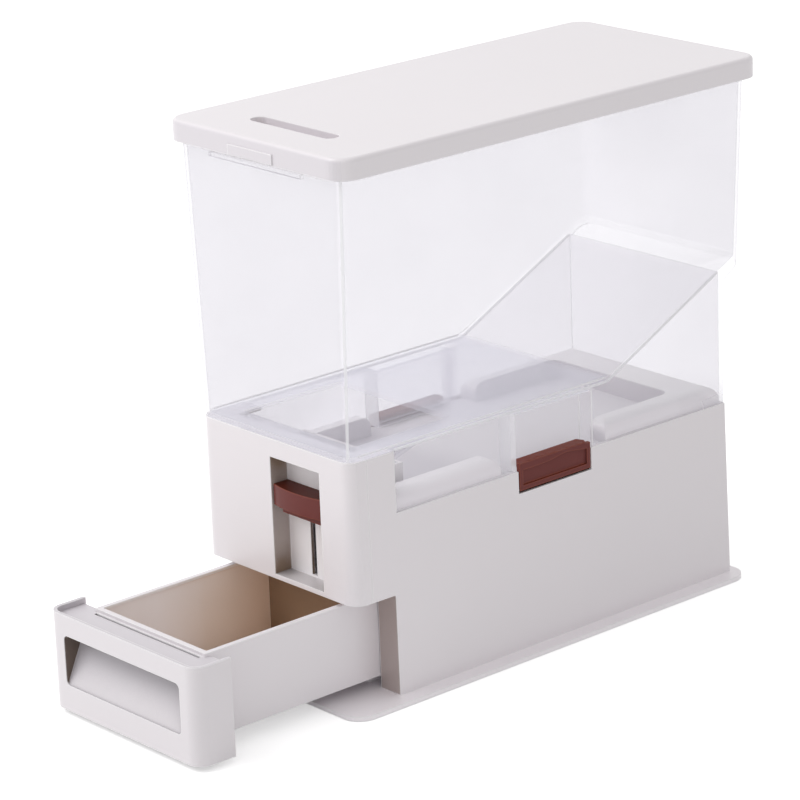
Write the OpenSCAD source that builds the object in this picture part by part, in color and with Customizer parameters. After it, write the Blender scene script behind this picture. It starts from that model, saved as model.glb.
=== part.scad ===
// Dry food storage container with a lever dispenser and a pull-out drawer.
// Millimetres, Z up, front towards -Y, origin in the middle of the underside.

/* [Foot plate] */
// How far the foot plate stands out at each side of the base
plate_over = 11.7; // [10:0.1:18]
// How far the foot plate stands out in front of the base
plate_over_front = 12.6; // [8:0.2:20]
// How far the foot plate stands out behind the base
plate_over_back = 7.3; // [4:0.1:16]
// Thickness of the foot plate
plate_t = 3; // [2.8:0.1:4]
// Corner round of the foot plate
plate_r = 14; // [6:1:20]

/* [Base] */
// Outer width of the base at its foot
base_w = 152; // [140:1:170]
// How much narrower the base is at the top of the front tower
base_draft = 3.8; // [2.6:0.1:5]
// Rear face of the base at its foot
base_back = 169.3; // [160:0.1:186]
// How far the rear face leans in at its rim
back_draft = 2.5; // [1.5:0.1:4]
// Height of the side rim
rim_z = 126.1; // [124:0.1:138]
// Height of the front tower above the side rim
tower_h = 41.3; // [40:0.1:46]
// Depth of the front tower
tower_d = 37.2; // [36.6:0.1:38]
// How far the side walls beside the drawer stand behind the front
side_set = 33.4; // [31:0.1:34]
// Underside of the front over the drawer
over_z = 71.6; // [66:0.1:73]
// Wall of the base
wall = 2.4; // [2:0.1:2.6]
// Hollow beside the drawer channel, channel wall and base wall included
side_room = 18.8; // [18:0.1:20]
// Wall of the drawer channel
guide_t = 2; // [1.6:0.1:2.6]
// Depth of the shelf over the drawer
shelf_d = 77.4; // [76:0.2:90]

/* [Front cover] */
// Front face of the cover, in front of the middle
front_y = 169.4; // [160:0.2:186]
// Depth of the cover
cover_d = 14; // [13.4:0.1:14.4]
// Round of the front corners
cover_r = 10; // [6:0.5:12]
// Middle of the lever window, right of the middle
win_x = 19.8; // [16:0.1:22]
// Width of the lever window
win_w = 48.4; // [44:0.2:49]
// Solid front below the lever window
win_low = 3.2; // [2.8:0.1:4]
// Solid front above the lever window
win_top = 12.4; // [11:0.2:14]

/* [Deck] */
// Height of the raised deck above the side rim
deck_up = 11.9; // [10.6:0.1:12.4]
// Width of the deck beside its opening, base wall included
deck_side = 19.5; // [18.4:0.1:22]
// Depth of the deck behind its opening, base wall included
deck_rear = 34.8; // [26:0.2:40]
// Round of the deck shoulder
deck_r = 9; // [6:0.5:10]
// Front end of the low part of the deck, in front of the latches
deck_gap_front = 13.5; // [11.6:0.1:18]
// Rear end of the low part of the deck, behind the latches
deck_gap_back = 17.5; // [12:0.1:21]

/* [Hopper] */
// How much wider the hopper is under the lid than at its floor
hop_flare = 13; // [10:0.2:15]
// How far the front of the hopper leans out
hop_lean = 1.9; // [0.8:0.1:2.4]
// How far the upper hopper stands out behind the base
hop_over = 15.2; // [14:0.1:17]
// How far the rear of the upper hopper leans out
hop_rear_lean = 2.7; // [1.6:0.1:3.4]
// Wall of the hopper
hop_t = 2.2; // [1.8:0.1:2.4]
// Height of the rear step above the hopper floor
step_h = 46.8; // [44:0.2:50]
// Rise of the ledge above the rear step
step_rise = 9.1; // [7:0.1:10]
// Front end of the ramp in the hopper floor
ramp_y = 58; // [52:1:64]
// Slope of the ramp
ramp_slope = 0.49; // [0.45:0.01:0.5]
// Front corner round of the hopper
hop_r = 10; // [8:0.5:12]
// Depth of the latch pockets
pocket_d = 12; // [11.6:0.1:12.6]

/* [Lid] */
// Lower edge of the lid
lid_z = 351.9; // [310:0.1:390]
// Height of the lid
lid_h = 14.2; // [13.8:0.1:15]
// How far the lid stands out at each side of the hopper
lid_over = 5.8; // [5:0.1:7]
// How far the lid stands out in front of the hopper
lid_over_front = 5; // [4.8:0.1:7]
// How far the lid stands out behind the hopper
lid_over_back = 8.2; // [7.8:0.1:8.7]
// Wall of the lid
lid_t = 2.4; // [2:0.1:2.6]
// Corner round of the lid
lid_r = 14; // [10:0.5:16]
// Length of the finger slot in the lid
grip_w = 80; // [60:1:90]
// Width of the finger slot in the lid
grip_d = 12; // [10:0.5:16]
// Depth of the finger slot in the lid
grip_h = 9; // [6:0.5:10]

/* [Latches] */
// Front end of a latch
latch_front = 25.5; // [23:0.1:28]
// Length of a latch
latch_l = 64; // [58:0.5:66]
// Height of a latch above the side rim
latch_up = 5.3; // [4.9:0.1:5.9]
// Rise of the thumb wave on a latch
wave_h = 2.4; // [1:0.2:3]
// Diameter of a latch pin
latch_pin_d = 3; // [2.4:0.1:3.2]

/* [Dispenser] */
// Module of the rack and pinion teeth
tooth_m = 1.5; // [1.5:0.01:1.52]
// Radius of the metering drum
drum_r = 22; // [20:0.2:22.2]
// Room beside the metering drum for the lever gear
gear_room = 32; // [28:0.5:38]
// Wall of the metering drum
drum_t = 2; // [1.6:0.1:2.4]
// Diameter of the drum shaft
shaft_d = 6; // [5:0.1:6.4]
// Diameter of the lever guide rod
rod_d = 4; // [3.4:0.1:4]

/* [Drawer] */
// How far the drawer is pulled out at rest
drawer_out = 131; // [110:1:140]
// Gap beside the drawer front
panel_gap = 0.6; // [0.4:0.1:1.4]
// Depth of the side wings of the drawer front
wing_d = 29; // [26:0.5:32]
// Corner round of the drawer front
panel_r = 10; // [8:0.5:12]
// Wall of the drawer front
panel_t = 2.6; // [2.2:0.1:3]
// Room behind the closed drawer
drawer_rear = 48.7; // [46:0.1:60]
// Inner length of the bin in front of its partition
bin_l = 138; // [110:1:200]
// Wall of the drawer box
box_t = 2.6; // [2:0.1:3]
// Solid front beside the handle opening
handle_side = 16.4; // [14:0.2:22]
// Height of the handle opening
handle_h = 34; // [28:0.5:35]

/* [Hidden] */
$fn = 64;
// colours
c_shell = [0.9, 0.88, 0.87];
c_clear = [0.86, 0.88, 0.93, 0.4];
c_brown = [0.36, 0.16, 0.12];
c_steel = [0.72, 0.72, 0.74];
c_inner = [0.82, 0.81, 0.8];
c_rubber = [0.6, 0.6, 0.62];
// small overlap used by cuts
e = 0.5;
// fits
run_gap = 0.05;
slide_gap = 0.4;
seat_gap = 0.2;
open_gap = 0.8;
// base outline
base_top_w = base_w - base_draft;
rim_back = base_back - back_draft;
tower_z = rim_z + tower_h;
tower_back = front_y - tower_d;
side_front = front_y - side_set;
chan_w = base_w - 2 * side_room;
shelf_back = front_y - shelf_d;
cover_seam = front_y - cover_d;
win_z = over_z + win_low;
win_h = tower_z - win_top - win_z;
plate_w = base_w + 2 * plate_over;
plate_front = front_y + plate_over_front;
plate_back = base_back + plate_over_back;
deck_z = rim_z + deck_up;
deck_open = base_w / 2 - deck_side;
deck_open_back = rim_back - deck_rear;
deck_end_r = 8;
pan_gap = 7;
roof_t = 2.4;
roof_gap = 1;
// base levels
shelf_t = 2.4;
shelf_z = over_z + shelf_t;
deck_drop = 4.4;
deck_seat_z = rim_z - deck_drop;
deck_t = 2.4;
ledge_w = 3;
tower_in = cover_seam - wall;
front_in = front_y - wall;
// latches
latch_z = rim_z + latch_up;
notch_d = 12;
notch_gap = 1;
notch_y0 = -latch_front - notch_gap;
notch_y1 = -latch_front + latch_l + notch_gap;
notch_h = 15.2;
latch_gap = 1.6;
pin_up = 4.6;
notch_z = rim_z - notch_h;
latch_low_z = notch_z + latch_gap;
pin_z = notch_z + pin_up;
pin_boss = 7.6;
pin_boss_h = 7.2;
latch_t = 2.8;
latch_panel = 1.6;
latch_proud = 0.2;
hood_t = 2.5;
hood_in = 9.2;
hood_cut = 4;
hood_lip = 1;
frame_w = 3;
frame_low = 3.4;
frame_top = 5;
pocket_y0 = notch_y0 - 1;
pocket_y1 = notch_y1 + 1.5;
low_y0 = -latch_front - deck_gap_front;
low_y1 = latch_l - latch_front + deck_gap_back;
// dispenser
pinion_n = 16;
pitch_r = tooth_m * pinion_n / 2;
lever_travel = PI * pitch_r;
drum_l = base_w - 2 * gear_room;
axis_in = 47.4;
axis_y = -front_y + axis_in;
axis_z = over_z + axis_in;
housing_gap = 0.6;
housing_t = 2;
hin_r = drum_r + housing_gap;
hout_r = hin_r + housing_t;
hin_x = drum_l / 2 + housing_gap;
end_t = 2.4;
hout_x = hin_x + end_t;
chute_h = 14;
flange_d = 25;
flange_w = 2;
bush_t = 2;
bush_rim = 1.5;
bush_d = shaft_d + 2 * bush_t;
bush_rim_d = bush_d + 2 * bush_rim;
bush_rim_t = 1.5;
rack_y = axis_y - pitch_r;
rack_low_z = axis_z - 6;
rack_over = 12;
rack_top_z = rack_low_z + lever_travel + rack_over;
car_t = 2.6;
car_y = -tower_in + 0.6;
car_x0 = win_x - 9.8;
slot_w = 5;
stem_gap = 0.5;
stem_h = 13;
stem_in = 6;
knob_gap = 0.8;
knob_w = win_w - 2 * knob_gap;
knob_drop = 18.6;
stem_drop = 15.4;
knob_z = win_z + win_h - knob_drop;
stem_z0 = knob_z - stem_drop;
car_low_z = stem_z0 - 5;
car_up = 29;
car_top_z = stem_z0 + car_up;
slot_x = win_x - 1;
slot_low_z = win_z + 1.2;
slot_top_z = stem_z0 + stem_h + slide_gap;
knob_h = 14;
knob_bulge = 3;
knob_front = front_y + 1.6;
knob_back = cover_seam + 0.8;
lip_h = 4.8;
rod_lug_z = car_top_z + 2;
rod_lug_t = 3;
sleeve_h = 12;
sleeve_d = rod_d + 5;
spring_d = rod_d + 4.4;
spring_t = 1.2;
rod_x = hout_x + flange_w + spring_d / 2 + 1;
rod_in = 26.4;
rod_y = -front_y + rod_in;
rack_w = 6.5;
rack_x0 = rod_x + sleeve_d / 2 + 0.3;
rack_x1 = rack_x0 + rack_w;
// funnel under the hopper
throat_x = hin_x - 2.6;
throat_y = 12.4;
throat_z = axis_z + drum_r + 1;
mouth_side = 22;
mouth_in = 20.4;
mouth_l = 83;
mouth_x = base_w / 2 - mouth_side;
mouth_y0 = -front_y + mouth_in;
mouth_y1 = mouth_y0 + mouth_l;
funnel_z = throat_z + 5;
inlet_x = throat_x + hop_t + 2.3;
inlet_y = throat_y + hop_t + 2.3;
inlet_z = funnel_z - 0.4;
inlet_t = 2;
// hopper levels
hop_w = base_top_w;
hop_top_w = hop_w + hop_flare;
hop_front = front_y + 0.2;
hop_top_front = hop_front + hop_lean;
hop_back = rim_back + hop_over;
hop_top_back = hop_back + hop_rear_lean;
hop_rear_r = 8;
step_z = tower_z + step_h;
step_top_z = step_z + step_rise;
hop_rim_h = 8.3;
hop_rim_z = lid_z + hop_rim_h;
skirt_w = hop_w;
skirt_r = 1;
floor_z = tower_z + hop_t;
// lid
lid_w = hop_top_w + 2 * lid_over;
lid_front = hop_top_front + lid_over_front;
lid_back = hop_top_back + lid_over_back;
lid_top_z = lid_z + lid_h;
lid_edge = 3;
grip_in = 36.5;
lid_in_z = lid_top_z - lid_t;
seal_w = 3.4;
hinge_y = lid_back - 1.4;
hinge_z = lid_z + 2.6;
hinge_r = 3.4;
hinge_pin_d = 3;
hinge_x0 = 42;
hinge_l = 16;
hinge_ear = 8;
hinge_gap = 0.5;
tab_w = 43;
tab_h = 6.9;
tab_t = 0.9;
lip_front_w = 90;
// drawer
panel_w = base_w - 2 * panel_gap;
drawer_l = front_y + base_back - drawer_rear;
panel_z = plate_t + 0.6;
panel_h = over_z - panel_z - 2.2;
handle_w = panel_w - 2 * handle_side;
panel_top = panel_z + panel_h;
box_w = chan_w - 2 * open_gap;
box_up = 7.5;
box_z = panel_z + box_up;
box_top = panel_top - 1.6;
rail_h = box_z - slide_gap - plate_t;
rail_w = 10;
rail_in = 16.4;
rail_x = box_w / 2 - rail_in;
box_in = 24;
box_y0 = -front_y + box_in;
box_y1 = -front_y + drawer_l;
shelf_drop = 4;
handle_up = 18;
handle_z = panel_z + handle_up;
handle_d = 18;
handle_r = 3.6;
box_lip = 1.2;
box_lip_h = 1.8;
// screws
screw_d = 3;
pilot_d = 2.6;
head_d = 5.6;
head_h = 1.4;
boss_d = 8;
boss_h = 16;
screw_l = 12;
plate_screw_in = 10;
plate_screw_front = 51.4;
plate_screw_rear = 17.3;
plate_screw_x = base_w / 2 - plate_screw_in;
plate_screws_at = [for (y = [-front_y + plate_screw_front, base_back - plate_screw_rear])
    for (s = [1, -1]) [s * plate_screw_x, y]];
housing_screw_in = 14;
housing_screw_edge = 4.2;
housing_screw_x = drum_l / 2 - housing_screw_in;
housing_screw_y = flange_d - housing_screw_edge;
housing_screws_at = [for (k = [-1, 1]) for (s = [1, -1]) [s * housing_screw_x,
    axis_y + k * housing_screw_y]];
cover_screw_l = 8;
cover_screw_in = 14;
cover_screw_top = 6.2;
cover_screw_low = 5.2;
cover_screw_gap = 9.6;
cover_screw_x = base_w / 2 - cover_screw_in;
cover_screws_at = [[-cover_screw_x, tower_z - cover_screw_top],
    [win_x + win_w / 2 + cover_screw_top, tower_z - cover_screw_top],
    [-cover_screw_x, win_z + cover_screw_low],
    [win_x - win_w / 2 - cover_screw_gap, win_z + cover_screw_low]];

// half width of the tapered base at height z, and of the hopper
function base_hw(z) = base_w / 2 + (base_top_w - base_w) / 2 * (z - plate_t) / (tower_z - plate_t);
function hop_hw(z) = hop_w / 2 + (hop_top_w - hop_w) / 2 * (z - tower_z) / (lid_z - tower_z);
function hop_fy(z) = hop_front + (hop_top_front - hop_front) * (z - tower_z) / (lid_z - tower_z);
function hop_by(z) = hop_back + (hop_top_back - hop_back) * (z - tower_z) / (lid_z - tower_z);
function ramp_z(y) = floor_z + ramp_slope * (y - ramp_y);
// height that a sloped sheet of the hopper wall takes up
ramp_t = hop_t * sqrt(1 + ramp_slope * ramp_slope);

// what lies outside a corner round with its centre at x, y
module nick(x, y, sx, sy, r) {
    difference() {
        translate([min(x, x + sx * (r + 1)), min(y, y + sy * (r + 1))]) square(r + 1);
        translate([x, y]) circle(r);
    }
}

// rectangle from x0 to x1 and y0 to y1, front corners rf, rear corners rb
module rrect(x0, x1, y0, y1, rf, rb) {
    difference() {
        translate([x0, y0]) square([x1 - x0, y1 - y0]);
        nick(x0 + rf, y0 + rf, -1, -1, rf);
        nick(x1 - rf, y0 + rf, 1, -1, rf);
        nick(x0 + rb, y1 - rb, -1, 1, rb);
        nick(x1 - rb, y1 - rb, 1, 1, rb);
    }
}

// box between two corners
module box(a, b) {
    translate(a) cube(b - a);
}

// outline in Y and Z, drawn out along X
module side(points, x0, x1) {
    translate([x0, 0, 0]) rotate([90, 0, 90]) linear_extrude(x1 - x0) polygon(points);
}

// tapered form of the base, drawn in by inset
module taper(inset, z0, z1, y0, y1) {
    a = base_hw(z0) - inset;
    b = base_hw(z1) - inset;
    translate([0, y1, 0]) rotate([90, 0, 0]) linear_extrude(y1 - y0)
        polygon([[-a, z0], [a, z0], [b, z1], [-b, z1]]);
}

module xrod(y, z, x0, x1, d) {
    translate([x0, y, z]) rotate([0, 90, 0]) cylinder(h = x1 - x0, d = d);
}

module yrod(x, z, y0, y1, d) {
    translate([x, y0, z]) rotate([-90, 0, 0]) cylinder(h = y1 - y0, d = d);
}

module zrod(x, y, z0, z1, d) {
    translate([x, y, z0]) cylinder(h = z1 - z0, d = d);
}

module base_plate() {
    color(c_shell) difference() {
        linear_extrude(plate_t) rrect(-plate_w / 2, plate_w / 2, -plate_front, plate_back, plate_r,
            plate_r);
        for (p = plate_screws_at) {
            zrod(p.x, p.y, -e, plate_t + e, screw_d + 0.4);
            zrod(p.x, p.y, -e, head_h + 0.2, head_d + 0.6);
        }
    }
}

module drawer_rails() {
    color(c_shell) for (s = [-1, 1])
        box([s * rail_x - rail_w / 2, -side_front, plate_t],
            [s * rail_x + rail_w / 2, base_back - wall - 6, plate_t + rail_h]);
}

// closed outline of the base seen from the side
base_side = [[-side_front, plate_t], [base_back, plate_t], [rim_back, rim_z], [-tower_back, rim_z],
    [-tower_back, tower_z], [-cover_seam, tower_z], [-cover_seam, over_z], [-side_front, over_z]];
base_hollow = [[-side_front + wall, plate_t - 1], [base_back - wall, plate_t - 1],
    [rim_back - wall, rim_z + 1], [-tower_back + 1, rim_z + 1], [-tower_back + 1, tower_z + 1],
    [-tower_in, tower_z + 1], [-tower_in, shelf_z], [-side_front + wall, shelf_z]];

module base_shell() {
    difference() {
        intersection() {
            taper(0, plate_t, tower_z, -front_y, base_back);
            side(base_side, -base_w, base_w);
        }
        intersection() {
            taper(wall, plate_t - 1, tower_z + 1, -front_y, base_back);
            side(base_hollow, -base_w, base_w);
        }
    }
}

// ledges under the deck along both side walls
module deck_ledges() {
    difference() {
        taper(wall - e, deck_seat_z - 2, deck_seat_z, -tower_back + 2, rim_back - wall - 2);
        taper(wall + ledge_w, deck_seat_z - 3, deck_seat_z + 1, -front_y, base_back);
        box([-base_w, notch_y0 - pin_boss, deck_seat_z - 3],
            [base_w, notch_y1 + pin_boss, deck_seat_z + 1]);
    }
}

pin_x = base_hw(pin_z) - wall - 1.2;

// bearing blocks beside each latch notch
module latch_bosses() {
    for (s = [-1, 1]) {
        for (y = [notch_y0 - pin_boss, notch_y1]) {
            intersection() {
                taper(wall / 2, pin_z - pin_boss_h, pin_z + pin_boss_h, y, y + pin_boss);
                box([s * pin_x - pin_boss, y, pin_z - pin_boss_h / 2],
                    [s * pin_x + pin_boss, y + pin_boss, pin_z + pin_boss_h / 2]);
            }
        }
    }
}

// frame on top of the front tower, round the hopper funnel
module tower_roof() {
    x = mouth_x + hop_t + roof_gap;
    difference() {
        taper(wall - e, tower_z - roof_t, tower_z, -cover_seam + e, -tower_back);
        box([-x, mouth_y0 - hop_t - roof_gap, tower_z - roof_t - 1], [x, -tower_back + 1, tower_z + 1]);
    }
}

module base_body() {
    color(c_shell) difference() {
        union() {
            difference() {
                union() {
                    base_shell();
                    for (s = [-1, 1])
                        box([s * (chan_w / 2 + guide_t / 2) - guide_t / 2, -side_front, plate_t],
                            [s * (chan_w / 2 + guide_t / 2) + guide_t / 2, base_back - wall + e, over_z]);
                }
                box([-chan_w / 2, -front_y, plate_t - 1], [chan_w / 2, base_back - wall - 4, over_z]);
            }
            taper(wall - e, over_z, shelf_z, -cover_seam + e, -shelf_back);
            deck_ledges();
            latch_bosses();
            tower_roof();
            for (p = plate_screws_at) {
                zrod(p.x, p.y, plate_t, plate_t + boss_h, boss_d);
                intersection() {
                    taper(wall / 2, plate_t, plate_t + boss_h, p.y - guide_t / 2, p.y + guide_t / 2);
                    box([p.x - boss_d, p.y - guide_t, plate_t],
                        [p.x + boss_d, p.y + guide_t, plate_t + boss_h]);
                }
                box([sign(p.x) * (chan_w / 2 + boss_d / 2 + guide_t / 2) - boss_d / 2,
                    p.y - guide_t / 2, plate_t],
                    [sign(p.x) * (chan_w / 2 + boss_d / 2 + guide_t / 2) + boss_d / 2, p.y + guide_t / 2,
                        plate_t + boss_h]);
            }
            zrod(rod_x, rod_y, shelf_z - e, shelf_z + 3, sleeve_d);
            zrod(rod_x, rod_y, rod_lug_z, rod_lug_z + rod_lug_t, sleeve_d);
            box([rod_x - sleeve_d / 2, -tower_in - e, rod_lug_z],
                [rod_x + sleeve_d / 2, rod_y, rod_lug_z + rod_lug_t]);
        }
        box([slot_x - slot_w / 2, -cover_seam - 1, slot_low_z],
            [slot_x + slot_w / 2, -tower_in + 1, slot_top_z]);
        box([-hin_x - seat_gap, axis_y - chute_h - seat_gap, over_z - 1],
            [hin_x + seat_gap, axis_y + chute_h + seat_gap, shelf_z + 1]);
        for (p = plate_screws_at) zrod(p.x, p.y, plate_t - 1, plate_t + screw_l + 1, pilot_d);
        for (p = housing_screws_at) zrod(p.x, p.y, over_z - 1, shelf_z + 1, screw_d + 0.4);
        for (p = cover_screws_at) yrod(p.x, p.y, -cover_seam - 1, -tower_in + 1, screw_d + 0.4);
        zrod(rod_x, rod_y, shelf_z, rod_lug_z + rod_lug_t + 1, rod_d);
        for (s = [-1, 1]) {
            box([s * base_w / 2 - notch_d, notch_y0, notch_z],
                [s * base_w / 2 + notch_d, notch_y1, rim_z + 1]);
            yrod(s * pin_x, pin_z, notch_y0 - pin_boss + 2, notch_y1 + pin_boss - 2, latch_pin_d);
        }
    }
}

// half width of the deck, inside the base wall and the hopper skirt
deck_hw = min(base_hw(deck_seat_z) - wall, skirt_w / 2 - hop_t) - seat_gap;

// deck block with a rounded shoulder at both sides and at the rear, drawn in by inset
module deck_form(inset, z0) {
    w = deck_hw - inset;
    b = rim_back - wall - seat_gap - inset;
    h = deck_z - inset;
    r = deck_r - inset;
    intersection() {
        translate([0, rim_back, 0]) rotate([90, 0, 0]) linear_extrude(rim_back + tower_back)
            difference() {
                translate([-w, z0]) square([2 * w, h - z0]);
                nick(-w + r, h - r, -1, 1, r);
                nick(w - r, h - r, 1, 1, r);
            }
        translate([-base_w, 0, 0]) rotate([90, 0, 90]) linear_extrude(2 * base_w)
            difference() {
                translate([-tower_back - 1 + inset, z0]) square([b + tower_back + 1 - inset, h - z0]);
                nick(b - r, h - r, 1, 1, r);
            }
    }
}

module base_deck() {
    open = deck_open;
    bar = deck_end_r;
    color(c_shell) difference() {
        deck_form(0, deck_seat_z);
        difference() {
            deck_form(deck_t, deck_seat_z - 1);
            box([-open - deck_t, -front_y, deck_seat_z - 2],
                [open + deck_t, deck_open_back + deck_t, deck_z]);
            box([-base_w, low_y0 - deck_t, deck_seat_z - 2], [base_w, low_y1 + deck_t, deck_z]);
            box([-base_w, -tower_back - 2, deck_seat_z - 2], [base_w, -tower_back + 1 + deck_t, deck_z]);
        }
        translate([0, 0, deck_seat_z - 2]) linear_extrude(deck_z)
            rrect(-open, open, -front_y, axis_y + flange_d + pan_gap, 1, deck_end_r);
        translate([0, 0, deck_seat_z + deck_t]) linear_extrude(deck_z)
            rrect(-open, open, -front_y, deck_open_back, 1, deck_end_r);
        box([-base_w, low_y0, deck_seat_z + deck_t], [base_w, low_y1, deck_z + 1]);
        translate([-base_w, 0, 0]) rotate([90, 0, 90]) linear_extrude(2 * base_w) {
            nick(low_y0 - bar, deck_z - bar, 1, 1, bar);
            nick(low_y1 + bar, deck_z - bar, -1, 1, bar);
        }
        for (s = [-1, 1]) {
            box([s * (deck_hw + latch_t) - 2 * latch_t, notch_y0, deck_seat_z - 1],
                [s * (deck_hw + latch_t) + 2 * latch_t, notch_y1, deck_z + 1]);
        }
        box([-base_w, -tower_back - 2, deck_seat_z - 2], [base_w, -tower_back + 1, deck_z + 1]);
        box([open - 1, -tower_back - 2, deck_seat_z - 2],
            [rack_x1 + 1, axis_y + tip_r + 2, axis_z + tip_r + 1.5]);
    }
}

// form of the front cover, drawn in by inset on all faces but the seam
module cover_form(inset) {
    intersection() {
        taper(inset, over_z + inset, tower_z - inset, -front_y, -cover_seam + (inset > 0 ? 1 : 0));
        translate([0, 0, over_z]) linear_extrude(tower_z)
            rrect(-base_hw(over_z) + inset, base_hw(over_z) - inset, -front_y + inset, 0,
                cover_r - inset, 1);
    }
}

module front_cover() {
    x0 = win_x - win_w / 2;
    x1 = win_x + win_w / 2;
    color(c_shell) difference() {
        union() {
            difference() {
                cover_form(0);
                cover_form(wall);
            }
            box([x0 - 2, -front_y + 1, over_z + 1], [x1 + 2, -cover_seam, win_z + win_h + 2]);
            for (p = cover_screws_at) intersection() {
                yrod(p.x, p.y, -front_in - e, -cover_seam, boss_d);
                cover_form(0);
            }
        }
        box([x0, -front_y - 1, win_z], [x1, -cover_seam + 1, win_z + win_h]);
        for (p = cover_screws_at) yrod(p.x, p.y, -cover_seam - cover_screw_l - 1, -cover_seam + 1, pilot_d);
    }
}

module plate_screws() {
    color(c_steel) for (p = plate_screws_at) {
        zrod(p.x, p.y, 0.2, 0.2 + head_h, head_d);
        zrod(p.x, p.y, 0.2, plate_t + screw_l, pilot_d);
    }
}

module housing_screws() {
    color(c_steel) for (p = housing_screws_at) {
        zrod(p.x, p.y, over_z - head_h, over_z, head_d);
        zrod(p.x, p.y, over_z - head_h, shelf_z + 2.4, pilot_d);
    }
}

module cover_screws() {
    color(c_steel) for (p = cover_screws_at) {
        yrod(p.x, p.y, -tower_in, -tower_in + head_h, head_d);
        yrod(p.x, p.y, -cover_seam - cover_screw_l, -tower_in + head_h, pilot_d);
    }
}

module metering_housing() {
    color(c_inner) difference() {
        union() {
            xrod(axis_y, axis_z, -hout_x, hout_x, 2 * hout_r);
            box([-hout_x, axis_y - chute_h - housing_t, shelf_z],
                [hout_x, axis_y + chute_h + housing_t, axis_z]);
            box([-inlet_x - inlet_t, axis_y - inlet_y - inlet_t, axis_z],
                [inlet_x + inlet_t, axis_y + inlet_y + inlet_t, inlet_z]);
            box([-hout_x - flange_w, axis_y - flange_d, shelf_z],
                [hout_x + flange_w, axis_y + flange_d, shelf_z + 3]);
        }
        xrod(axis_y, axis_z, -hin_x, hin_x, 2 * hin_r);
        box([-hin_x, axis_y - chute_h, shelf_z - 1], [hin_x, axis_y + chute_h, axis_z]);
        box([-hin_x, axis_y - inlet_y, axis_z], [hin_x, axis_y + inlet_y, inlet_z + 1]);
        box([-inlet_x, axis_y - inlet_y, axis_z + drum_r - 1], [inlet_x, axis_y + inlet_y, inlet_z + 1]);
        xrod(axis_y, axis_z, -hout_x - 1, hout_x + 1, bush_d);
        for (s = [0, 1]) mirror([s, 0, 0])
            xrod(axis_y, axis_z, hout_x, hout_x + bush_rim_d, bush_rim_d + open_gap);
        for (p = housing_screws_at) zrod(p.x, p.y, shelf_z - 1, shelf_z + 2.6, pilot_d);
    }
}

module drum_bushes() {
    color(c_steel) for (s = [0, 1]) mirror([s, 0, 0]) difference() {
        union() {
            xrod(axis_y, axis_z, hin_x, hout_x, bush_d);
            xrod(axis_y, axis_z, hout_x, hout_x + bush_rim_t, bush_rim_d);
        }
        xrod(axis_y, axis_z, hin_x - 1, hout_x + bush_rim_t + 1, shaft_d + 2 * run_gap);
    }
}

module metering_drum() {
    color(c_inner) difference() {
        union() {
            difference() {
                xrod(axis_y, axis_z, -drum_l / 2, drum_l / 2, 2 * drum_r);
                xrod(axis_y, axis_z, -drum_l / 2 + drum_t, drum_l / 2 - drum_t, 2 * (drum_r - drum_t));
                box([-drum_l / 2 + drum_t, axis_y - drum_r, axis_z + drum_r * 0.55],
                    [drum_l / 2 - drum_t, axis_y + drum_r, axis_z + drum_r + 1]);
            }
            xrod(axis_y, axis_z, -drum_l / 2, drum_l / 2, shaft_d + 5);
        }
        xrod(axis_y, axis_z, -drum_l, drum_l, shaft_d);
    }
}

module drum_shaft() {
    color(c_steel) xrod(axis_y, axis_z, -hout_x - 5, rack_x1 + 1, shaft_d);
}

// points of one pinion tooth flank, from the root to the tip
root_r = pitch_r - 1.25 * tooth_m;
tip_r = pitch_r + tooth_m;
press_angle = 20;
gear_base_r = pitch_r * cos(press_angle);
function inv(a) = tan(a) * 180 / PI - a;
function roll_angle(r) = r <= gear_base_r ? 0 : acos(gear_base_r / r);
// angle from the tooth middle to its flank at radius r, thinned for backlash
backlash = 0.3;
function flank(r) = 90 / pinion_n - backlash / 2 / pitch_r * 180 / PI + inv(press_angle)
    - inv(roll_angle(r));
flank_r = [for (i = [0 : 4]) max(root_r, gear_base_r) + (tip_r - max(root_r, gear_base_r)) * i / 4];
function polar(r, a) = [r * cos(a), r * sin(a)];
gear_points = [for (t = [0 : pinion_n - 1]) each concat(
    [polar(root_r, t * 360 / pinion_n - flank(gear_base_r))],
    [for (r = flank_r) polar(r, t * 360 / pinion_n - flank(r))],
    [for (i = [4 : -1 : 0]) polar(flank_r[i], t * 360 / pinion_n + flank(flank_r[i]))],
    [polar(root_r, t * 360 / pinion_n + flank(gear_base_r))])];

module drum_pinion() {
    color(c_inner) difference() {
        union() {
            translate([rack_x0 + 0.3, axis_y, axis_z]) rotate([90, 0, 90])
                rotate(180 + 180 / pinion_n) linear_extrude(rack_x1 - rack_x0 - 0.6) polygon(gear_points);
            xrod(axis_y, axis_z, hout_x + bush_rim_t + 0.8, rack_x0 + 1, shaft_d + 5);
        }
        xrod(axis_y, axis_z, hout_x, rack_x1 + 2, shaft_d);
    }
}

// rack teeth, one of them level with the pinion axis
rack_pitch = PI * tooth_m;
rack_first = ceil((rack_low_z + rack_pitch / 2 - axis_z) / rack_pitch);
rack_last = floor((rack_top_z - rack_pitch / 2 - axis_z) / rack_pitch);

module rack_tooth(z) {
    half = rack_pitch / 4 - backlash / 4;
    out = half - tooth_m * tan(press_angle);
    in = half + 1.25 * tooth_m * tan(press_angle);
    side([[rack_y - 1.25 * tooth_m - e, z - in], [rack_y - 1.25 * tooth_m, z - in],
        [rack_y + tooth_m, z - out],
        [rack_y + tooth_m, z + out], [rack_y - 1.25 * tooth_m, z + in],
            [rack_y - 1.25 * tooth_m - e, z + in]],
        rack_x0, rack_x1);
}

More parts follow.
